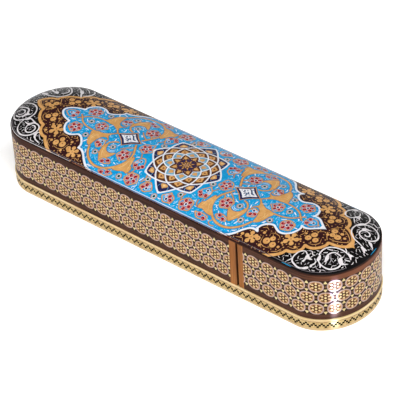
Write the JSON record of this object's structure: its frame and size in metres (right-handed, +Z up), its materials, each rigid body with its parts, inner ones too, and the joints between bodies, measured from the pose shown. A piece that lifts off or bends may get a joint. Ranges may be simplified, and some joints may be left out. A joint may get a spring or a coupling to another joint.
{
  "type": "pen box",
  "caption": "Long oval-ended wooden pen box with inlaid walls, a low domed painted top and a drawer that slides out of one rounded end.",
  "frame": {"origin": "middle of the foot, on the surface the box stands on", "axes": "+X along the box towards the drawer's front, +Z up, +Y across the box away from the pictured side"},
  "size_m": [0.2412, 0.0606, 0.0428],
  "materials": {
    "base_wood": "plain oiled wood",
    "pale_wood": "pale yellow wood, varnished",
    "zigzag_inlay": "pale strip with a dark zigzag inlay, varnished",
    "wall_wood": "plain wood",
    "khatam": "mosaic of wood, bone and thin brass under gloss varnish",
    "dark_wood": "dark walnut, varnished",
    "strip_wood": "red-brown wood, varnished",
    "painted_top": "painted and gloss varnished",
    "tray_wood": "satin wood",
    "lining": "short-pile velvet"
  },
  "bodies": {
    "case": {"base_board": "base_wood", "base_lower_edge": "pale_wood", "base_zigzag_strip": "zigzag_inlay", "base_bead": "pale_wood", "case_side_near": "wall_wood", "case_side_far": "wall_wood", "case_end_wall": "wall_wood", "case_khatam_veneer": "khatam", "case_upper_band": "dark_wood", "case_lower_band": "dark_wood", "case_end_strip_near": "strip_wood", "case_end_strip_far": "strip_wood", "top_board": "dark_wood", "painted_panel": "painted_top"},
    "drawer": {"drawer_front_wall": "wall_wood", "drawer_khatam_veneer": "khatam", "drawer_upper_band": "dark_wood", "drawer_lower_band": "dark_wood", "drawer_end_strip_near": "strip_wood", "drawer_end_strip_far": "strip_wood", "drawer_floor": "tray_wood", "drawer_side_near": "tray_wood", "drawer_side_far": "tray_wood", "drawer_end_back": "tray_wood", "drawer_end_front": "tray_wood", "drawer_lining": "lining"}
  },
  "joints": [
    {"name": "drawer_slide", "type": "slide", "parent": "case", "child": "drawer", "axis": [1, 0, 0], "range_m": [0, 0.16]}
  ]
}
